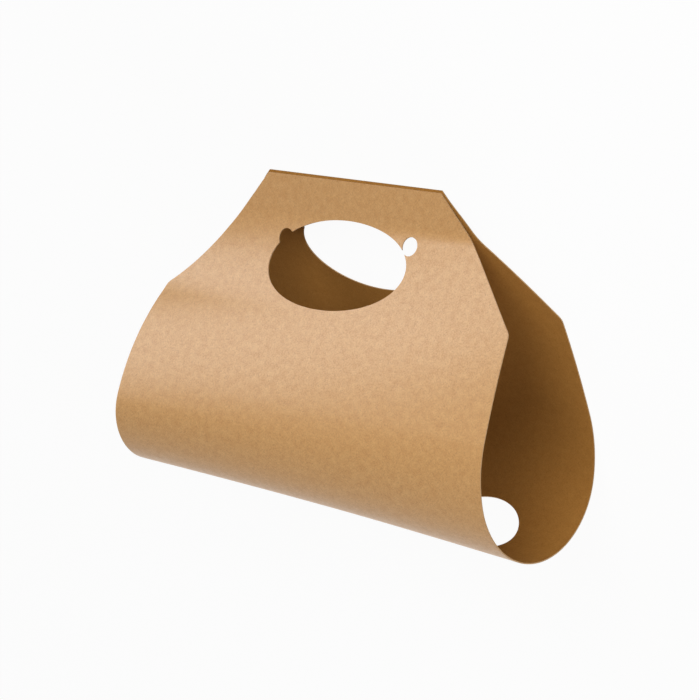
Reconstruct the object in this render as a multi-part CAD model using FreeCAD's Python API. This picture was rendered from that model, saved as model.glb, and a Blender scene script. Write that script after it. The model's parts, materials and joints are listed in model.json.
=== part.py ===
import FreeCAD, Part
import math
import os
from collections import namedtuple

# Cardboard cup carrier: one die-cut sheet of brown paperboard, bent round into a loop.
# Its two ends meet at the top as a two-ply handle with an oval hand hole through both plies,
# and its rounded floor has a cup hole near each open end.
# The sheet is described twice over: flat, by a place across it and a run along it, and bent,
# by the section that it takes at its left and at its right open end. Straight lines join the
# two sections, so every point of the flat sheet has its place on the bent one.
# The carrier can't stand on its rounded floor, so it is laid down on its back panel at the end.

# Flat sheet, in millimetres
BOARD = 0.6                 # thickness of the board
CARRIER_LENGTH = 228.0      # across the sheet, from open end to open end
SHEET_RUN = 407.0           # round the loop, from one top edge to the other
HANDLE_LENGTH = 113.0       # straight top edge of each ply
SHOULDER_RUN = 63.0         # from the top edge down the sheet to the shoulder corners
SHOULDER_ROUND = 5.0        # radius of the shoulder corners

# Hand hole, the same in both plies
HAND_HOLE_LENGTH = 91.0
HAND_HOLE_HEIGHT = 46.0
HAND_HOLE_RUN = 42.3        # from the top edge down to the middle of the hole
HAND_HOLE_OFFSET = -6.2     # the hole sits a little to the left of the middle
HAND_HOLE_TILT = 2.6        # degrees, left end lower
EAR_RADIUS = 4.8            # two small round ears, cut where the upper rim begins
EAR_SPACING = 81.8
EAR_RISE = 12.5             # ears above the middle of the hole
EAR_OFFSET = 3.9            # ears to the right of the middle of the hole

# Cup holes in the floor
CUP_HOLE_DIAMETER = 54.0
CUP_HOLE_SPACING = 119.0
CUP_HOLE_RUN = 212.0        # from the front top edge round to their middle line

# Handle
PLY_CLEARANCE = 0.3         # between the two plies where they meet
BACK_PLY_RISE = 1.2         # the back ply's top edge stands a little higher

# Section at the left end: a nearly flat floor, tight bellies and flanks that lean in
LEFT_FLOOR_RADIUS = 370.0
LEFT_FLOOR_TURN = 4.7       # degrees, each side of the lowest line
LEFT_FRONT_BELLY_RADIUS = 26.8
LEFT_FRONT_LOW_LEAN = 21.0  # degrees from upright where the flank begins
LEFT_FRONT_HIGH_LEAN = 50.0  # degrees from upright where it reaches the neck
LEFT_FRONT_NECK_RADIUS = 55.0
LEFT_BACK_BELLY_RADIUS = 22.0
LEFT_BACK_LOW_LEAN = 6.0    # degrees
LEFT_BACK_HIGH_LEAN = 39.0  # degrees
LEFT_BACK_NECK_RADIUS = 10.0

# Section at the right end: a round floor and flat flanks, the same in front and behind
RIGHT_FLOOR_RADIUS = 41.0
RIGHT_FLOOR_TURN = 80.0     # degrees
RIGHT_BELLY_RADIUS = 62.5
RIGHT_LOW_LEAN = 18.5       # degrees
RIGHT_HIGH_LEAN = 28.5      # degrees
RIGHT_NECK_RADIUS = 14.0

# Spacing of the points that carry a curve's formula
RUN_STEP = 6.0
CORNER_STEP = 2.5           # within CORNER_REACH of a shoulder corner
CORNER_REACH = 7.5
RIM_POINTS = 24             # round a hole
PANELS = 32                 # faces round the loop; each is small enough to need few facets

CUT_CLEARANCE = 6.0         # a cup hole's cutter ends this far above the hole's rim
NO_TURN = 1e-9              # radians; a stretch that turns less is straight
SETTLING_STEPS = 20         # tries for the three points that the carrier comes to rest on

Bend = namedtuple("Bend", "floor_radius floor_turn belly_radius low_lean high_lean neck_radius")
Place = namedtuple("Place", "y z angle")

LEFT_FRONT = Bend(LEFT_FLOOR_RADIUS, LEFT_FLOOR_TURN, LEFT_FRONT_BELLY_RADIUS,
                  LEFT_FRONT_LOW_LEAN, LEFT_FRONT_HIGH_LEAN, LEFT_FRONT_NECK_RADIUS)
LEFT_BACK = Bend(LEFT_FLOOR_RADIUS, LEFT_FLOOR_TURN, LEFT_BACK_BELLY_RADIUS,
                 LEFT_BACK_LOW_LEAN, LEFT_BACK_HIGH_LEAN, LEFT_BACK_NECK_RADIUS)
RIGHT_SIDE = Bend(RIGHT_FLOOR_RADIUS, RIGHT_FLOOR_TURN, RIGHT_BELLY_RADIUS,
                  RIGHT_LOW_LEAN, RIGHT_HIGH_LEAN, RIGHT_NECK_RADIUS)


def arc_end(start, length, turn):
    """Place reached from start after a stretch that turns evenly over its length."""
    if abs(turn) < NO_TURN:
        return Place(start.y + length * math.cos(start.angle),
                     start.z + length * math.sin(start.angle), start.angle)
    radius = length / turn
    angle = start.angle + turn
    return Place(start.y + radius * (math.sin(angle) - math.sin(start.angle)),
                 start.z - radius * (math.cos(angle) - math.cos(start.angle)), angle)


class HalfSection:
    """Half of an end's section, from the lowest line up to the neck, as tangent arcs."""

    def __init__(self, bend):
        floor_turn = math.radians(bend.floor_turn)
        low = math.pi / 2 + math.radians(bend.low_lean)
        high = math.pi / 2 + math.radians(bend.high_lean)
        ply_middle = (BOARD + PLY_CLEARANCE) / 2
        # The flank is as long as it takes to bring the neck in to the handle.
        belly_y = bend.floor_radius * math.sin(floor_turn)
        belly_y += bend.belly_radius * (math.sin(low) - math.sin(floor_turn))
        neck_y = -bend.neck_radius * (1 - math.sin(high))
        chord = (ply_middle - belly_y - neck_y) / math.cos((low + high) / 2)
        bow = high - low
        flank = chord * (bow / 2) / math.sin(bow / 2) if abs(bow) > NO_TURN else chord
        self.stretches = [(bend.floor_radius * floor_turn, floor_turn),
                          (bend.belly_radius * (low - floor_turn), low - floor_turn),
                          (flank, bow),
                          (bend.neck_radius * (high - math.pi / 2), math.pi / 2 - high)]
        self.run = sum(length for length, turn in self.stretches)
        self.neck_height = self.place(self.run).z

    def place(self, run):
        """Place at a run along the half section; past the neck it goes straight up."""
        place = Place(0.0, 0.0, 0.0)
        for length, turn in self.stretches:
            if run <= length:
                return arc_end(place, run, turn * run / length)
            place = arc_end(place, length, turn)
            run -= length
        return arc_end(place, run, 0.0)


class EndSection:
    """A whole section: down the front ply, under the floor and up the back ply."""

    def __init__(self, front, back):
        self.front = HalfSection(front)
        self.back = HalfSection(back)
        spare = SHEET_RUN - self.front.run - self.back.run
        step = self.front.neck_height + BACK_PLY_RISE - self.back.neck_height
        self.lowest_run = self.front.run + (spare - step) / 2
        self.height = self.front.place(self.lowest_run).z

    def place(self, run):
        """Place at a run from the front top edge, with that edge at height zero."""
        if run <= self.lowest_run:
            half = self.front.place(self.lowest_run - run)
            return Place(-half.y, half.z - self.height, -half.angle)
        half = self.back.place(run - self.lowest_run)
        return Place(half.y, half.z - self.height, half.angle)

    def point(self, run, out):
        """Section point moved outwards by out along the board's normal, as (y, z)."""
        place = self.place(run)
        return (place.y + out * math.sin(place.angle), place.z - out * math.cos(place.angle))


LEFT = EndSection(LEFT_FRONT, LEFT_BACK)
RIGHT = EndSection(RIGHT_SIDE, RIGHT_SIDE)


def sheet_point(across, run, out=0.0):
    """Point of the bent sheet for a point of the flat one."""
    share = across / CARRIER_LENGTH + 0.5
    left_y, left_z = LEFT.point(run, out)
    right_y, right_z = RIGHT.point(run, out)
    return FreeCAD.Vector(across, left_y + share * (right_y - left_y),
                          left_z + share * (right_z - left_z))


def outline_half_length(run):
    """Half the sheet's length across at a run: handle, slanted shoulder, rounded corner, body."""
    drop = min(run, SHEET_RUN - run)
    half_body = CARRIER_LENGTH / 2
    slant = math.atan2(half_body - HANDLE_LENGTH / 2, SHOULDER_RUN)
    tangent = SHOULDER_ROUND * math.tan(slant / 2)
    if drop >= SHOULDER_RUN + tangent:
        return half_body
    if drop <= SHOULDER_RUN - tangent * math.cos(slant):
        return HANDLE_LENGTH / 2 + drop * math.tan(slant)
    along = drop - SHOULDER_RUN - tangent
    return half_body - SHOULDER_ROUND + math.sqrt(SHOULDER_ROUND ** 2 - along ** 2)


def run_values():
    """Runs at which the sheet's edges are worked out, closer together at the shoulders."""
    back = SHEET_RUN - SHOULDER_RUN
    stops = [0.0, SHOULDER_RUN - CORNER_REACH, SHOULDER_RUN + CORNER_REACH,
             back - CORNER_REACH, back + CORNER_REACH, SHEET_RUN]
    steps = [RUN_STEP, CORNER_STEP, RUN_STEP, CORNER_STEP, RUN_STEP]
    runs = [0.0]
    for start, end, step in zip(stops, stops[1:], steps):
        count = math.ceil((end - start) / step)
        runs += [start + (end - start) * (i + 1) / count for i in range(count)]
    return runs


def curve_through(points, parameters):
    curve = Part.BSplineCurve()
    curve.interpolate(Points=points, Parameters=parameters)
    return curve


def bent_sheet():
    """The sheet without its holes, panel by panel round the loop."""
    runs = run_values()
    curves = {}
    for side in (-1, 1):
        for out in (-1, 1):
            points = [sheet_point(side * outline_half_length(run), run, out * BOARD / 2)
                      for run in runs]
            curves[side, out] = curve_through(points, runs)
    faces = []
    for panel in range(PANELS):
        start = SHEET_RUN * panel / PANELS
        end = SHEET_RUN * (panel + 1) / PANELS
        edges = {key: curve.toShape(start, end) for key, curve in curves.items()}
        for one, other in (((-1, 1), (1, 1)), ((-1, -1), (1, -1)),
                           ((-1, -1), (-1, 1)), ((1, -1), (1, 1))):
            faces.append(Part.makeRuledSurface(edges[one], edges[other]))
    half_top = HANDLE_LENGTH / 2
    for run in (0.0, SHEET_RUN):
        corners = [sheet_point(side * half_top, run, out * BOARD / 2)
                   for side, out in ((-1, -1), (1, -1), (1, 1), (-1, 1))]
        faces.append(Part.Face(Part.makePolygon(corners + corners[:1])))
    shell = Part.makeShell(faces)
    shell.sewShape()
    solid = Part.makeSolid(shell)
    if solid.Volume < 0:
        solid.reverse()
    return solid


def oval(middle, half_length, half_height, tilt=0.0):
    """Flat points of a tilted oval, as (across, drop) pairs."""
    points = []
    for i in range(RIM_POINTS):
        turn = 2 * math.pi * i / RIM_POINTS
        along = half_length * math.cos(turn)
        down = half_height * math.sin(turn)
        points.append((middle[0] + along * math.cos(tilt) + down * math.sin(tilt),
                       middle[1] - along * math.sin(tilt) + down * math.cos(tilt)))
    return points


def cutter(points, reach):
    """Closed curve through the points, swept along reach."""
    curve = Part.BSplineCurve()
    curve.interpolate(Points=points, PeriodicFlag=True)
    return Part.Face(Part.Wire(curve.toShape())).extrude(reach)


def hand_hole_outlines():
    """The oval and its two ears, flat, as (across, drop) pairs below the top edge."""
    tilt = math.radians(HAND_HOLE_TILT)
    middle = (HAND_HOLE_OFFSET, HAND_HOLE_RUN)
    outlines = [oval(middle, HAND_HOLE_LENGTH / 2, HAND_HOLE_HEIGHT / 2, tilt)]
    for side in (-1, 1):
        along = EAR_OFFSET + side * EAR_SPACING / 2
        ear = (middle[0] + along * math.cos(tilt) - EAR_RISE * math.sin(tilt),
               middle[1] - along * math.sin(tilt) - EAR_RISE * math.cos(tilt))
        outlines.append(oval(ear, EAR_RADIUS, EAR_RADIUS))
    return outlines


def hand_hole_cutters():
    """Cutters for the front ply, then for the back ply, each starting between the plies."""
    reach = CARRIER_LENGTH / 2
    cutters = []
    for facing in (-1, 1):
        for outline in hand_hole_outlines():
            rim = []
            for across, drop in outline:
                run = drop if facing < 0 else SHEET_RUN - drop
                place = sheet_point(across, run)
                rim.append(FreeCAD.Vector(place.x, 0, place.z))
            cutters.append(cutter(rim, FreeCAD.Vector(0, facing * reach, 0)))
    return cutters


def cup_hole_cutters():
    """Upright cutters through the floor, from below it to just above the hole's highest rim."""
    radius = CUP_HOLE_DIAMETER / 2
    cutters = []
    for side in (-1, 1):
        outline = oval((side * CUP_HOLE_SPACING / 2, CUP_HOLE_RUN), radius, radius)
        places = [sheet_point(across, run) for across, run in outline]
        low = min(place.z for place in places) - radius
        high = max(place.z for place in places) + CUT_CLEARANCE
        rim = [FreeCAD.Vector(place.x, place.y, low) for place in places]
        cutters.append(cutter(rim, FreeCAD.Vector(0, 0, high - low)))
    return cutters


def resting_normal():
    """Upward direction, in the upright frame, when the carrier lies on its back panel.

    It rests on three points: one on each open end's rim and one at the end of the top edge.
    """
    rims = []
    for side in (-1, 1):
        rims.append([sheet_point(side * outline_half_length(run), run, BOARD / 2)
                     for run in run_values() if SHEET_RUN / 2 < run < SHEET_RUN - SHOULDER_RUN])
    top = [sheet_point(side * HANDLE_LENGTH / 2, SHEET_RUN, BOARD / 2) for side in (-1, 1)]
    up = FreeCAD.Vector(0, -1, 0)
    for _ in range(SETTLING_STEPS):
        left = min(rims[0], key=up.dot)
        right = min(rims[1], key=up.dot)
        tip = min(top, key=up.dot)
        up = (right - left).cross(tip - left)
        up.normalize()
        if up.y > 0:
            up = -up
    return up


def laid_down(shape):
    """The shape on its back panel, handle towards +Y, with its box centred over the origin."""
    up = resting_normal()
    along = FreeCAD.Vector(1, 0, 0)
    along = (along - up * along.dot(up)).normalize()
    away = up.cross(along)
    turn = FreeCAD.Matrix(along.x, along.y, along.z, 0,
                          away.x, away.y, away.z, 0,
                          up.x, up.y, up.z, 0,
                          0, 0, 0, 1)
    laid = shape.transformed(turn, copy=True)
    box = laid.optimalBoundingBox(False)
    laid.translate(FreeCAD.Vector(-box.Center.x, -box.Center.y, -box.ZMin))
    return laid


def folded_sheet():
    solid = bent_sheet()
    for tool in hand_hole_cutters() + cup_hole_cutters():
        solid = solid.cut(tool)
    return laid_down(solid.Solids[0])


os.makedirs("parts", exist_ok=True)
sheet = folded_sheet()
sheet.exportStep("parts/folded_sheet.step")
box = sheet.optimalBoundingBox(False)
print("folded_sheet", "valid", sheet.isValid(), "volume", round(sheet.Volume, 1),
      "box", [round(v, 2) for v in (box.XMin, box.XMax, box.YMin, box.YMax, box.ZMin, box.ZMax)])
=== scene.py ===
"""Cardboard cup carrier, lying on its back panel and seen over its front panel.

The carrier is one die-cut sheet of kraft board, and the script models it as it is made. The sheet
is cut flat, with its outline, its hand holes and its cup holes, and then every point of it is bent
to the shape that the sheet takes as a loop. In the flat sheet X runs across, minus Y down from the
front top edge, and Z out of the outer side. Sizes are in millimetres, unless a docstring says that
they are in metres.
"""

import json
import logging
import math
from dataclasses import dataclass, field
from enum import Enum

import bpy
from mathutils import Matrix, Quaternion, Vector

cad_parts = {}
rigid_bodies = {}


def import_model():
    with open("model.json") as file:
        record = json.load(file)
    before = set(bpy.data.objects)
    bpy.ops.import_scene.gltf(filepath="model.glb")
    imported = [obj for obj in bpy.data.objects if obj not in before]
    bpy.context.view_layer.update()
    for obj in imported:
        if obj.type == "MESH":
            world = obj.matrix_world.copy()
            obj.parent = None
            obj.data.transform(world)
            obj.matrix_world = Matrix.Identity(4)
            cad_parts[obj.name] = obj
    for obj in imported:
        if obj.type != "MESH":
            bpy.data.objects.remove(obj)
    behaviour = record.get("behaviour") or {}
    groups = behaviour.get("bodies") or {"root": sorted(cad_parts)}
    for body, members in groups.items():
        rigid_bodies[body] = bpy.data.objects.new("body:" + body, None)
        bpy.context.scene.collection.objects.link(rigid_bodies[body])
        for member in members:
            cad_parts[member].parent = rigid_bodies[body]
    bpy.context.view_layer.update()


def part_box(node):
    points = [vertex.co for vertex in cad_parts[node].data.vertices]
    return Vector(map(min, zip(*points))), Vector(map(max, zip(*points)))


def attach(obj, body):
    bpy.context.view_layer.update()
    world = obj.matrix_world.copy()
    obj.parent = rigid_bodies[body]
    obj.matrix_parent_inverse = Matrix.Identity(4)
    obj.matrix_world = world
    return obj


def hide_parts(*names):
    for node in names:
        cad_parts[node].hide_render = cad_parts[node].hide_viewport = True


log = logging.getLogger("cup_carrier")

MM = 0.001
NODE = "folded_sheet"
BLANK_MAP = "blank"

# A turn under this many radians counts as none
NO_TURN = 1e-9

# Sockets of a mix node, which share their names: those for colours, then those for numbers
COLOUR_A, COLOUR_B, MIXED = 6, 7, 2
NUMBER_A, NUMBER_B, BLENDED = 2, 3, 0

# Where nearly all of a noise's values lie
NOISE_LOW, NOISE_HIGH = 0.35, 0.65


class Ply(Enum):
    """The two plies of the handle, which are the two ends of the sheet."""

    FRONT = 1
    BACK = -1


class Surface(Enum):
    """The sheet's surfaces, by the number of their material slot."""

    OUTER = 0
    INNER = 1
    CUT_EDGE = 2


def linear(hex_colour: str) -> tuple[float, float, float, float]:
    """Turn an sRGB hex colour to the linear one that a shader's socket takes.

    Args:
        hex_colour: The colour as six hex digits with a leading hash.

    Returns:
        Red, green, blue and an alpha of 1.
    """
    parts = [int(hex_colour[i : i + 2], 16) / 255 for i in (1, 3, 5)]
    flat = [p / 12.92 if p <= 0.04045 else ((p + 0.055) / 1.055) ** 2.4 for p in parts]
    return (flat[0], flat[1], flat[2], 1.0)


def add_node(
    tree: bpy.types.NodeTree,
    kind: str,
    settings: dict[str, object] | None = None,
    inputs: dict[str | int, object] | None = None,
) -> bpy.types.Node:
    """Add a shader node with its settings and its inputs.

    Args:
        tree: The node tree that it goes into.
        kind: The node's type name.
        settings: Values of the node's own properties.
        inputs: Values of its sockets by name or number; an output socket is linked instead.

    Returns:
        The new node.
    """
    node = tree.nodes.new(kind)
    for name, value in (settings or {}).items():
        setattr(node, name, value)
    for name, value in (inputs or {}).items():
        if isinstance(value, bpy.types.NodeSocket):
            tree.links.new(value, node.inputs[name])
        else:
            node.inputs[name].default_value = value
    return node


def towards(azimuth: float, elevation: float) -> Vector:
    """Find the direction at two angles in degrees, azimuth zero being minus Y.

    Args:
        azimuth: Round from minus Y towards plus X.
        elevation: Up from the floor.

    Returns:
        A vector of length 1.
    """
    turn, rise = math.radians(azimuth), math.radians(elevation)
    return Vector(
        (math.sin(turn) * math.cos(rise), -math.cos(turn) * math.cos(rise), math.sin(rise))
    )


def deselect_all() -> None:
    """Leave object mode with nothing selected."""
    if bpy.context.mode != "OBJECT":
        bpy.ops.object.mode_set(mode="OBJECT")
    bpy.ops.object.select_all(action="DESELECT")


def apply_modifiers(piece: bpy.types.Object) -> None:
    """Apply every modifier of a piece, in order."""
    deselect_all()
    piece.select_set(True)
    bpy.context.view_layer.objects.active = piece
    for name in [modifier.name for modifier in piece.modifiers]:
        bpy.ops.object.modifier_apply(modifier=name)


@dataclass(frozen=True)
class Place:
    """A place in a section: y across the loop, z up, and the board's angle in radians."""

    y: float
    z: float
    angle: float


@dataclass(frozen=True)
class Arc:
    """A stretch of a section that turns evenly: its length, and its turn in radians."""

    length: float
    turn: float

    def end(self, start: Place, share: float = 1.0) -> Place:
        """Follow the stretch from a start.

        Args:
            start: Where the stretch begins.
            share: How much of it to follow, from 0 to 1.

        Returns:
            The place reached.
        """
        length, angle = self.length * share, start.angle + self.turn * share
        if abs(self.turn) < NO_TURN:
            y = start.y + length * math.cos(angle)
            return Place(y, start.z + length * math.sin(angle), angle)
        radius = self.length / self.turn
        return Place(
            start.y + radius * (math.sin(angle) - math.sin(start.angle)),
            start.z - radius * (math.cos(angle) - math.cos(start.angle)),
            angle,
        )


@dataclass
class HalfSection:
    """Half of an end's section, from its lowest line up to the neck.

    The turn and the leans are in degrees, the leans from upright. The flank between the two leans
    is as long as it takes to bring the neck in to the handle, at ply_middle from the mid-plane.
    """

    floor_radius: float
    floor_turn: float
    belly_radius: float
    low_lean: float
    high_lean: float
    neck_radius: float
    ply_middle: float
    arcs: list[Arc] = field(init=False)
    run: float = field(init=False)
    neck_height: float = field(init=False)

    def __post_init__(self) -> None:
        """Work out the stretches: floor, belly, flank and neck."""
        floor_turn = math.radians(self.floor_turn)
        low = math.pi / 2 + math.radians(self.low_lean)
        high = math.pi / 2 + math.radians(self.high_lean)
        belly_y = self.floor_radius * math.sin(floor_turn)
        belly_y += self.belly_radius * (math.sin(low) - math.sin(floor_turn))
        neck_y = -self.neck_radius * (1 - math.sin(high))
        bow = high - low
        chord = (self.ply_middle - belly_y - neck_y) / math.cos((low + high) / 2)
        self.arcs = [
            Arc(self.floor_radius * floor_turn, floor_turn),
            Arc(self.belly_radius * (low - floor_turn), low - floor_turn),
            Arc(chord * (bow / 2) / math.sin(bow / 2), bow),
            Arc(self.neck_radius * (high - math.pi / 2), math.pi / 2 - high),
        ]
        self.run = sum(arc.length for arc in self.arcs)
        self.neck_height = self.place(self.run).z

    def place(self, run: float) -> Place:
        """Find the place at a run from the lowest line; past the neck it goes straight up.

        Args:
            run: Along the half section.

        Returns:
            The place, with y outwards.
        """
        place = Place(0.0, 0.0, 0.0)
        for arc in self.arcs:
            if run <= arc.length:
                return arc.end(place, run / arc.length)
            place = arc.end(place)
            run -= arc.length
        return Arc(run, 0.0).end(place)


@dataclass
class EndSection:
    """The section at an open end: down the front ply, under the floor and up the back ply."""

    front: HalfSection
    back: HalfSection
    sheet_run: float
    back_ply_rise: float
    lowest_run: float = field(init=False)
    height: float = field(init=False)

    def __post_init__(self) -> None:
        """Work out where the lowest line is and how high the front top edge stands over it."""
        spare = self.sheet_run - self.front.run - self.back.run
        step = self.front.neck_height + self.back_ply_rise - self.back.neck_height
        self.lowest_run = self.front.run + (spare - step) / 2
        self.height = self.front.place(self.lowest_run).z

    def point(self, run: float, out: float) -> tuple[float, float]:
        """Find a point of the section.

        Args:
            run: From the front top edge round the loop.
            out: Outwards along the board's normal.

        Returns:
            Its y and z, with the front top edge at height zero.
        """
        facing = -1 if run <= self.lowest_run else 1
        half = self.front if facing < 0 else self.back
        place = half.place(abs(run - self.lowest_run))
        y, angle = facing * place.y, facing * place.angle
        return y + out * math.sin(angle), place.z - self.height - out * math.cos(angle)


@dataclass
class HandHole:
    """The hand hole of each ply: an oval with a small round ear where its upper rim begins."""

    length: float = 91.0
    height: float = 46.0
    run: float = 42.3
    offset: float = -6.2
    tilt_degrees: float = 2.6
    ear_radius: float = 4.8
    ear_spacing: float = 81.8
    ear_rise: float = 12.5
    ear_offset: float = 3.9
    rim_segments: int = 160
    ear_segments: int = 48

    def punches(self, ply: Ply, sheet_run: float) -> list[bpy.types.Object]:
        """Make the punches for one ply: the oval's and the two ears'.

        Args:
            ply: The ply that they cut.
            sheet_run: The sheet's run, for the back ply's place.

        Returns:
            Three upright punches through the flat sheet.
        """
        tilt = math.radians(self.tilt_degrees) * ply.value
        middle_y = -self.run if ply is Ply.FRONT else self.run - sheet_run
        middle = Vector((self.offset, middle_y))
        made = [punch(middle, self.length / 2, self.height / 2, tilt, self.rim_segments)]
        for side in (-1, 1):
            along = self.ear_offset + side * self.ear_spacing / 2
            ear = Vector((along, ply.value * self.ear_rise))
            ear.rotate(Matrix.Rotation(tilt, 2))
            made.append(
                punch(middle + ear, self.ear_radius, self.ear_radius, 0.0, self.ear_segments)
            )
        return made


@dataclass
class CupHoles:
    """The round holes in the floor, each for the foot of a cup."""

    diameter: float = 54.0
    spacing: float = 119.0
    run: float = 212.0
    rim_segments: int = 128

    def punches(self) -> list[bpy.types.Object]:
        """Make the two round punches."""
        radius, aside = self.diameter / 2, self.spacing / 2
        return [
            punch(Vector((side * aside, -self.run)), radius, radius, 0.0, self.rim_segments)
            for side in (-1, 1)
        ]


def punch(
    middle: Vector, half_length: float, half_height: float, tilt: float, segments: int
) -> bpy.types.Object:
    """Make an oval punch that stands through the flat sheet.

    Args:
        middle: Where it stands on the flat sheet.
        half_length: Half its size across the sheet.
        half_height: Half its size along the sheet.
        tilt: Its turn in the sheet, in radians.
        segments: Sides of its rim.

    Returns:
        The punch, with its place in its mesh.
    """
    deselect_all()
    bpy.ops.mesh.primitive_cylinder_add(
        vertices=segments,
        radius=half_length * MM,
        depth=half_length * MM,
        location=(middle.x * MM, middle.y * MM, 0),
        rotation=(0, 0, tilt),
    )
    made = bpy.context.active_object
    made.scale.y = half_height / half_length
    bpy.ops.object.transform_apply(location=True, rotation=True, scale=True)
    return made


@dataclass(frozen=True)
class KraftBoard:
    """Unbleached kraft board, calendered: brown pulp pressed to a dull, slightly uneven face.

    To the eye it is a warm tan, mottled where the pulp lay thicker, with fine darker fibres.
    Pressing leaves a dull sheen, which pales the tan where the face mirrors a lamp. Scales are in
    millimetres. Real fibres are about 0.03 mm wide, too fine to show here, so they are drawn
    coarser than they are. The leans of the fibres are in degrees.
    """

    name: str = "kraft_board_calendered"
    pale: str = "#DBA866"
    dark: str = "#C48C48"
    fibre: str = "#A97538"
    mottle_size: float = 4.0
    cloud_size: float = 0.9
    cloud_share: float = 0.65
    fibre_width: float = 0.42
    fibre_length: float = 2.4
    fibre_turns: tuple[float, float] = (-35.0, 50.0)
    fibre_low: float = 0.56
    fibre_high: float = 0.78
    fibre_share: float = 0.75
    smoothest: float = 0.28
    roughest: float = 0.4
    specular: float = 0.8
    bump_height: float = 0.03
    bump_strength: float = 0.5

    def material(self) -> bpy.types.Material:
        """Make the material of one face of the board.

        Returns:
            The material, whose patterns read the blank's own map, in millimetres.
        """
        made = bpy.data.materials.new(self.name)
        made.use_nodes = True
        tree = made.node_tree
        shader = tree.nodes["Principled BSDF"]
        shader.inputs["Specular IOR Level"].default_value = self.specular
        blank = add_node(tree, "ShaderNodeUVMap", {"uv_map": BLANK_MAP}).outputs["UV"]
        shade = self.pulp_thickness(tree, blank)
        first, second = (self.fibre_layer(tree, blank, turn) for turn in self.fibre_turns)
        fibres = add_node(tree, "ShaderNodeMath", {"operation": "MAXIMUM"}, {0: first, 1: second})
        spread = add_node(
            tree,
            "ShaderNodeMapRange",
            inputs={"Value": shade, "From Min": NOISE_LOW, "From Max": NOISE_HIGH},
        )
        base = add_node(
            tree,
            "ShaderNodeMix",
            {"data_type": "RGBA"},
            {
                0: spread.outputs["Result"],
                COLOUR_A: linear(self.pale),
                COLOUR_B: linear(self.dark),
            },
        )
        streaks = add_node(
            tree,
            "ShaderNodeMapRange",
            inputs={
                "Value": fibres.outputs[0],
                "From Min": self.fibre_low,
                "From Max": self.fibre_high,
                "To Max": self.fibre_share,
            },
        )
        face = add_node(
            tree,
            "ShaderNodeMix",
            {"data_type": "RGBA"},
            {
                0: streaks.outputs["Result"],
                COLOUR_A: base.outputs[MIXED],
                COLOUR_B: linear(self.fibre),
            },
        )
        bump = add_node(
            tree,
            "ShaderNodeBump",
            inputs={
                "Strength": self.bump_strength,
                "Distance": self.bump_height * MM,
                "Height": fibres.outputs[0],
            },
        )
        polish = add_node(
            tree,
            "ShaderNodeMapRange",
            inputs={
                "Value": shade,
                "From Min": NOISE_LOW,
                "From Max": NOISE_HIGH,
                "To Min": self.smoothest,
                "To Max": self.roughest,
            },
        )
        tree.links.new(face.outputs[MIXED], shader.inputs["Base Color"])
        tree.links.new(polish.outputs["Result"], shader.inputs["Roughness"])
        tree.links.new(bump.outputs["Normal"], shader.inputs["Normal"])
        return made

    def pulp_thickness(
        self, tree: bpy.types.NodeTree, blank: bpy.types.NodeSocket
    ) -> bpy.types.NodeSocket:
        """Add the uneven thickness of the pulp: broad mottle mixed with small clouds.

        Args:
            tree: The material's node tree.
            blank: The blank's map.

        Returns:
            A socket that is high where the pulp lay thicker.
        """
        mottle = add_node(
            tree,
            "ShaderNodeTexNoise",
            inputs={
                "Vector": blank,
                "Scale": 1 / self.mottle_size,
                "Detail": 2.0,
                "Roughness": 0.5,
            },
        )
        clouds = add_node(
            tree,
            "ShaderNodeTexNoise",
            inputs={
                "Vector": blank,
                "Scale": 1 / self.cloud_size,
                "Detail": 3.0,
                "Roughness": 0.6,
            },
        )
        mixed = add_node(
            tree,
            "ShaderNodeMix",
            {"data_type": "FLOAT"},
            {
                0: self.cloud_share,
                NUMBER_A: mottle.outputs["Fac"],
                NUMBER_B: clouds.outputs["Fac"],
            },
        )
        return mixed.outputs[BLENDED]

    def fibre_layer(
        self, tree: bpy.types.NodeTree, blank: bpy.types.NodeSocket, turn: float
    ) -> bpy.types.NodeSocket:
        """Add one layer of pulp fibres.

        Args:
            tree: The material's node tree.
            blank: The blank's map.
            turn: Which way the fibres lie in the sheet, in degrees.

        Returns:
            A socket that is high on a fibre.
        """
        lie = add_node(
            tree,
            "ShaderNodeMapping",
            inputs={"Vector": blank, "Rotation": (0.0, 0.0, math.radians(turn))},
        )
        grain = add_node(
            tree,
            "ShaderNodeMapping",
            inputs={
                "Vector": lie.outputs["Vector"],
                "Scale": (1 / self.fibre_length, 1 / self.fibre_width, 1.0),
            },
        )
        fibres = add_node(
            tree,
            "ShaderNodeTexNoise",
            inputs={"Vector": grain.outputs["Vector"], "Scale": 1.0, "Detail": 2.0},
        )
        return fibres.outputs["Fac"]


@dataclass(frozen=True)
class CutEdge:
    """Die-cut edge of the board: the core that the steel rule has opened.

    To the eye it is a thin matt line round each cut, paler than the faces and a little fuzzy. The
    paleness is partly the opened core's own tone and partly painted light, for edges that catch
    little lamp light. The fuzz is drawn coarser than it is, because it would be too fine to show.
    """

    name: str = "kraft_board_die_cut_edge"
    # Pale core colour: partly the core's own tone, partly painted light on edges that catch little
    # lamp light
    core: str = "#D9B183"
    crushed: str = "#C49A68"
    fibre_length: float = 1.5
    roughness: float = 0.9

    def material(self) -> bpy.types.Material:
        """Make the material of the cut edges."""
        made = bpy.data.materials.new(self.name)
        made.use_nodes = True
        tree = made.node_tree
        shader = tree.nodes["Principled BSDF"]
        shader.inputs["Roughness"].default_value = self.roughness
        blank = add_node(tree, "ShaderNodeUVMap", {"uv_map": BLANK_MAP})
        fuzz = add_node(
            tree,
            "ShaderNodeTexNoise",
            inputs={"Vector": blank.outputs["UV"], "Scale": 1 / self.fibre_length, "Detail": 2.0},
        )
        face = add_node(
            tree,
            "ShaderNodeMix",
            {"data_type": "RGBA"},
            {
                0: fuzz.outputs["Fac"],
                COLOUR_A: linear(self.core),
                COLOUR_B: linear(self.crushed),
            },
        )
        tree.links.new(face.outputs[MIXED], shader.inputs["Base Color"])
        return made


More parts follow.
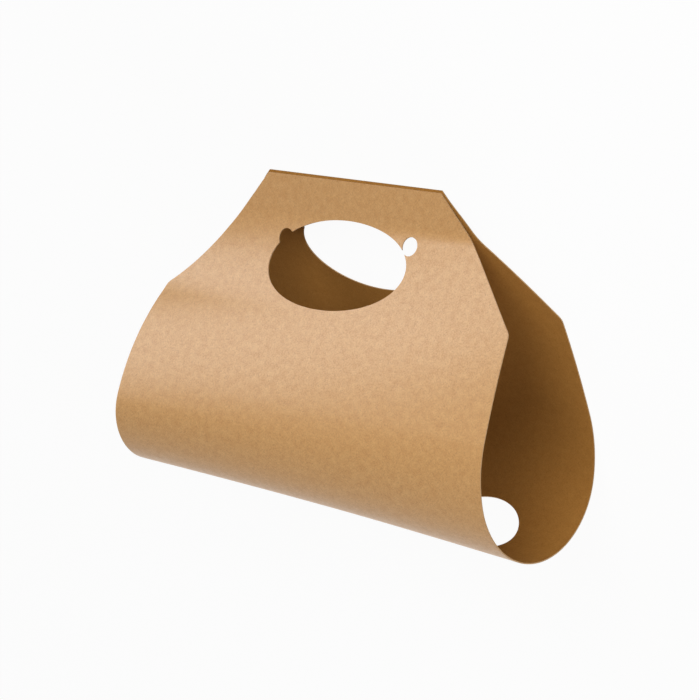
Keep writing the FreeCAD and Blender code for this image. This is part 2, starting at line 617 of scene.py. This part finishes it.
@dataclass
class CupCarrier:
    """The whole carrier: one sheet, cut flat and then bent.

    Its inner face is a deeper brown without sheen; the deeper brown is painted shade for the
    shaded inside of the loop. Angles are in degrees.
    """

    board: float = 0.6
    carrier_length: float = 228.0
    sheet_run: float = 407.0
    handle_length: float = 113.0
    shoulder_run: float = 63.0
    shoulder_round: float = 5.0
    ply_clearance: float = 0.3
    back_ply_rise: float = 1.2
    cell_across: float = 6.0
    cell_along: float = 1.5
    corner_cuts: int = 6
    smooth_below: float = 40.0
    settling_tries: int = 20
    hand_hole: HandHole = field(default_factory=HandHole)
    cup_holes: CupHoles = field(default_factory=CupHoles)
    outer_face: KraftBoard = field(default_factory=KraftBoard)
    # The inner face's deeper browns are painted shade for the shaded inside of the loop
    inner_face: KraftBoard = field(
        default_factory=lambda: KraftBoard(
            name="kraft_board_inner_painted_shade",
            pale="#B5813E",
            dark="#A77334",
            fibre="#93622A",
            smoothest=0.8,
            roughest=0.9,
            specular=0.15,
        )
    )
    edges: CutEdge = field(default_factory=CutEdge)
    left: EndSection = field(init=False)
    right: EndSection = field(init=False)

    def __post_init__(self) -> None:
        """Bring in the two end sections: a flat floor on the left, a round one on the right."""
        ply_middle = (self.board + self.ply_clearance) / 2
        left_front = HalfSection(
            floor_radius=370.0,
            floor_turn=4.7,
            belly_radius=26.8,
            low_lean=21.0,
            high_lean=50.0,
            neck_radius=55.0,
            ply_middle=ply_middle,
        )
        left_back = HalfSection(
            floor_radius=370.0,
            floor_turn=4.7,
            belly_radius=22.0,
            low_lean=6.0,
            high_lean=39.0,
            neck_radius=10.0,
            ply_middle=ply_middle,
        )
        right_half = HalfSection(
            floor_radius=41.0,
            floor_turn=80.0,
            belly_radius=62.5,
            low_lean=18.5,
            high_lean=28.5,
            neck_radius=14.0,
            ply_middle=ply_middle,
        )
        self.left = EndSection(left_front, left_back, self.sheet_run, self.back_ply_rise)
        self.right = EndSection(right_half, right_half, self.sheet_run, self.back_ply_rise)

    def bent(self, across: float, run: float, out: float) -> Vector:
        """Find where a point of the flat sheet lies on the bent one.

        Args:
            across: Across the sheet from its middle line.
            run: Down the sheet from its front top edge.
            out: Outwards from the board's middle.

        Returns:
            The point, with the carrier upright, in metres.
        """
        share = across / self.carrier_length + 0.5
        left, right = self.left.point(run, out), self.right.point(run, out)
        y = left[0] + share * (right[0] - left[0])
        z = left[1] + share * (right[1] - left[1])
        return Vector((across, y, z)) * MM

    def blank(self) -> bpy.types.Object:
        """Make the flat sheet: a fine grid, cut to the outline and given its thickness.

        Returns:
            The flat sheet, a closed slab.
        """
        deselect_all()
        bpy.ops.mesh.primitive_grid_add(
            x_subdivisions=round(self.carrier_length / self.cell_across),
            y_subdivisions=round(self.sheet_run / self.cell_along),
            size=1,
            location=(0, -self.sheet_run / 2 * MM, 0),
        )
        sheet = bpy.context.active_object
        sheet.name = "carrier_sheet"
        sheet.scale = (self.carrier_length * MM, self.sheet_run * MM, 1)
        bpy.ops.object.transform_apply(location=True, rotation=True, scale=True)
        self.cut_outline(sheet)
        thickness = sheet.modifiers.new("thickness", "SOLIDIFY")
        thickness.thickness = self.board * MM
        thickness.offset = 0
        apply_modifiers(sheet)
        return sheet

    def cut_outline(self, sheet: bpy.types.Object) -> None:
        """Cut the slanted shoulders, then round each corner with short tangent cuts.

        Args:
            sheet: The flat grid.
        """
        half_body, half_top = self.carrier_length / 2, self.handle_length / 2
        slant = math.atan2(half_body - half_top, self.shoulder_run)
        tangent = self.shoulder_round * math.tan(slant / 2)
        centre_x, centre_run = half_body - self.shoulder_round, self.shoulder_run + tangent
        deselect_all()
        bpy.context.view_layer.objects.active = sheet
        bpy.ops.object.mode_set(mode="EDIT")
        for ply in Ply:
            top = 0.0 if ply is Ply.FRONT else -self.sheet_run
            for side in (-1, 1):
                centre = Vector((side * centre_x, top - ply.value * centre_run, 0))
                for cut in range(1, self.corner_cuts + 1):
                    turn = slant * cut / self.corner_cuts
                    normal = Vector((side * math.cos(turn), ply.value * math.sin(turn), 0))
                    place = centre + normal * self.shoulder_round
                    bpy.ops.mesh.select_all(action="SELECT")
                    bpy.ops.mesh.bisect(
                        plane_co=place * MM, plane_no=normal, clear_outer=True, use_fill=False
                    )
        bpy.ops.object.mode_set(mode="OBJECT")

    def punch_holes(self, sheet: bpy.types.Object) -> None:
        """Punch the hand holes and the cup holes through the flat sheet.

        Args:
            sheet: The flat slab.
        """
        punches = [p for ply in Ply for p in self.hand_hole.punches(ply, self.sheet_run)]
        punches += self.cup_holes.punches()
        for tool in punches:
            hole = sheet.modifiers.new("hole", "BOOLEAN")
            hole.operation = "DIFFERENCE"
            hole.solver = "EXACT"
            hole.object = tool
        apply_modifiers(sheet)
        for tool in punches:
            bpy.data.objects.remove(tool)

    def map_blank(self, sheet: bpy.types.Object) -> None:
        """Give the sheet its material slots and a map in millimetres of the flat blank.

        Args:
            sheet: The flat, punched slab.
        """
        mesh = sheet.data
        while mesh.uv_layers:
            mesh.uv_layers.remove(mesh.uv_layers[0])
        layer = mesh.uv_layers.new(name=BLANK_MAP)
        for loop in mesh.loops:
            flat = mesh.vertices[loop.vertex_index].co / MM
            # The cut edge's own height goes into the map, so that its faces have an area there.
            layer.uv[loop.index].vector = (flat.x + flat.z / 2, flat.y + flat.z / 2)
        mesh.materials.clear()
        for finish in (self.outer_face, self.inner_face, self.edges):
            mesh.materials.append(finish.material())
        facing_out_or_in = {1: Surface.OUTER, -1: Surface.INNER}
        for face in mesh.polygons:
            surface = facing_out_or_in.get(round(face.normal.z), Surface.CUT_EDGE)
            face.material_index = surface.value

    def bend(self, sheet: bpy.types.Object) -> None:
        """Bend the flat sheet to the loop, upright.

        Args:
            sheet: The flat, punched slab.
        """
        for vertex in sheet.data.vertices:
            flat = vertex.co / MM
            vertex.co = self.bent(flat.x, -flat.y, flat.z)

    def lay_down(self, sheet: bpy.types.Object) -> None:
        """Lay the bent sheet on its back panel, centred over the origin.

        It rests on three points: one on each open end's rim and one at the end of the top edge.

        Args:
            sheet: The bent sheet, upright.
        """
        half_body, half_top = self.carrier_length / 2, self.handle_length / 2
        first, last = round(self.sheet_run / 2), round(self.sheet_run - self.shoulder_run)
        rims = [
            [self.bent(side * half_body, run, self.board / 2) for run in range(first, last)]
            for side in (-1, 1)
        ]
        tops = [self.bent(side * half_top, self.sheet_run, self.board / 2) for side in (-1, 1)]
        # With the back panel under it, the side that faced the eye comes to face up.
        up = Vector((0, -1, 0))
        for _ in range(self.settling_tries):
            left, right, tip = (min(points, key=up.dot) for points in (*rims, tops))
            up = (right - left).cross(tip - left).normalized()
            up = -up if up.y > 0 else up
        along = Vector((1, 0, 0))
        along = (along - up * along.dot(up)).normalized()
        turn = Matrix((along, up.cross(along), up)).to_4x4()
        sheet.data.transform(turn)
        sheet.data.update()
        low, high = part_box(NODE)
        own_low = Vector([min(v.co[i] for v in sheet.data.vertices) for i in range(3)])
        own_high = Vector([max(v.co[i] for v in sheet.data.vertices) for i in range(3)])
        middle, own_middle = (low + high) / 2, (own_low + own_high) / 2
        sheet.data.transform(Matrix.Translation(middle - own_middle))
        sheet.data.transform(Matrix.Translation((0, 0, low.z - (middle - own_middle + own_low).z)))

    def build(self) -> bpy.types.Object:
        """Cut, punch, bend and lay down the sheet, and put it in its CAD node's place.

        Returns:
            The finished carrier.
        """
        sheet = self.blank()
        self.punch_holes(sheet)
        self.map_blank(sheet)
        self.bend(sheet)
        self.lay_down(sheet)
        deselect_all()
        sheet.select_set(True)
        bpy.context.view_layer.objects.active = sheet
        bpy.ops.object.shade_smooth_by_angle(angle=math.radians(self.smooth_below))
        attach(sheet, "root")
        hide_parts(NODE)
        return sheet


@dataclass(frozen=True)
class SoftLamp:
    """A large soft lamp, aimed at the carrier. Angles are in degrees, lengths in metres."""

    name: str
    azimuth: float
    elevation: float
    watts: float
    size: float
    distance: float = 2.0

    def place(self, target: Vector) -> bpy.types.Object:
        """Hang the lamp.

        Args:
            target: What it points at.

        Returns:
            The lamp.
        """
        away = towards(self.azimuth, self.elevation)
        lamp = bpy.data.lights.new(self.name, "AREA")
        lamp.energy = self.watts
        lamp.size = self.size
        made = bpy.data.objects.new(self.name, lamp)
        bpy.context.scene.collection.objects.link(made)
        made.visible_camera = False
        made.location = target + away * self.distance
        made.rotation_mode = "QUATERNION"
        made.rotation_quaternion = (-away).to_track_quat("-Z", "Y")
        return made


@dataclass
class Studio:
    """Pale floor, soft lamps, pale surroundings and the camera.

    Lengths are in metres, angles in degrees, and the camera's lens and sensor in millimetres.
    """

    floor_size: float = 12.0
    floor_colour: str = "#F4F4F2"
    floor_bounce: str = "#9A9A98"
    floor_glow: float = 0.95
    fill: float = 0.04
    lamps: tuple[SoftLamp, ...] = (
        SoftLamp("key", azimuth=150.0, elevation=34.0, watts=7.7, size=0.8, distance=1.2),
        SoftLamp("sheen", azimuth=226.0, elevation=15.0, watts=13.5, size=1.3),
        SoftLamp("side", azimuth=20.0, elevation=18.0, watts=21.0, size=1.2),
        SoftLamp("end", azimuth=112.0, elevation=16.0, watts=10.0, size=1.2),
    )
    camera_azimuth: float = 122.199
    camera_elevation: float = 33.823
    camera_roll: float = -126.728
    camera_distance: float = 2.17898
    camera_target: tuple[float, float, float] = (0.001921, 0.008272, 0.040996)
    camera_lens: float = 231.43
    camera_sensor: float = 36.0
    camera_range: tuple[float, float] = (0.1, 50.0)

    def seen_directly(self, tree: bpy.types.NodeTree) -> bpy.types.NodeSocket:
        """Add nodes that tell rays from the eye, direct or through gloss or glass, from light.

        Args:
            tree: The node tree that they go into.

        Returns:
            A socket that is 1 for such a ray.
        """
        path = add_node(tree, "ShaderNodeLightPath")
        eye = add_node(
            tree,
            "ShaderNodeMath",
            {"operation": "MAXIMUM"},
            {0: path.outputs["Is Camera Ray"], 1: path.outputs["Is Glossy Ray"]},
        )
        both = add_node(
            tree,
            "ShaderNodeMath",
            {"operation": "MAXIMUM"},
            {0: eye.outputs[0], 1: path.outputs["Is Transmission Ray"]},
        )
        return both.outputs[0]

    def lay_floor(self) -> bpy.types.Object:
        """Lay the pale floor.

        Returns:
            The floor, which keeps a soft shadow under its glow.
        """
        deselect_all()
        bpy.ops.mesh.primitive_plane_add(size=self.floor_size)
        floor = bpy.context.active_object
        floor.name = "floor"
        made = bpy.data.materials.new("matt_white_paint")
        made.use_nodes = True
        tree = made.node_tree
        tree.nodes.clear()
        seen = self.seen_directly(tree)
        colour = add_node(
            tree,
            "ShaderNodeMix",
            {"data_type": "RGBA"},
            {0: seen, COLOUR_A: linear(self.floor_bounce), COLOUR_B: linear(self.floor_colour)},
        )
        paint = add_node(tree, "ShaderNodeBsdfDiffuse", inputs={"Color": colour.outputs[MIXED]})
        glow = add_node(tree, "ShaderNodeEmission", inputs={"Strength": 1.0})
        share = add_node(
            tree, "ShaderNodeMath", {"operation": "MULTIPLY"}, {0: seen, 1: self.floor_glow}
        )
        mixed = add_node(
            tree,
            "ShaderNodeMixShader",
            inputs={0: share.outputs[0], 1: paint.outputs[0], 2: glow.outputs[0]},
        )
        add_node(tree, "ShaderNodeOutputMaterial", inputs={"Surface": mixed.outputs[0]})
        floor.data.materials.append(made)
        return floor

    def light(self, target: Vector) -> None:
        """Hang the lamps and set the surroundings.

        Args:
            target: What the lamps point at.
        """
        for lamp in self.lamps:
            lamp.place(target)
        world = bpy.data.worlds.new("surroundings")
        bpy.context.scene.world = world
        world.use_nodes = True
        tree = world.node_tree
        tree.nodes.clear()
        strength = add_node(
            tree,
            "ShaderNodeMix",
            {"data_type": "FLOAT"},
            {0: self.seen_directly(tree), NUMBER_A: self.fill, NUMBER_B: 1.0},
        )
        sky = add_node(
            tree,
            "ShaderNodeBackground",
            inputs={"Color": (1, 1, 1, 1), "Strength": strength.outputs[0]},
        )
        add_node(tree, "ShaderNodeOutputWorld", inputs={"Surface": sky.outputs[0]})

    def set_camera(self) -> bpy.types.Object:
        """Set up the camera at the photograph's angle.

        Returns:
            The camera, rolled so that the lying carrier appears upright.
        """
        back = towards(self.camera_azimuth, self.camera_elevation)
        data = bpy.data.cameras.new("camera")
        data.lens = self.camera_lens
        data.sensor_width = self.camera_sensor
        data.clip_start, data.clip_end = self.camera_range
        camera = bpy.data.objects.new("camera", data)
        bpy.context.scene.collection.objects.link(camera)
        camera.location = Vector(self.camera_target) + back * self.camera_distance
        camera.rotation_mode = "QUATERNION"
        level = (-back).to_track_quat("-Z", "Y")
        roll = Quaternion((0, 0, 1), math.radians(self.camera_roll))
        camera.rotation_quaternion = level @ roll
        bpy.context.scene.camera = camera
        return camera


def main() -> None:
    """Build the carrier, its floor, its light and its camera."""
    logging.basicConfig(level=logging.INFO, format="%(message)s")
    bpy.ops.object.select_all(action="SELECT")
    bpy.ops.object.delete()
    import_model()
    carrier = CupCarrier().build()
    log.info("%s: %d faces", carrier.name, len(carrier.data.polygons))
    studio = Studio()
    studio.lay_floor()
    studio.light(Vector(studio.camera_target))
    studio.set_camera()
    bpy.context.scene.view_settings.view_transform = "Standard"


if __name__ == "__main__":
    main()
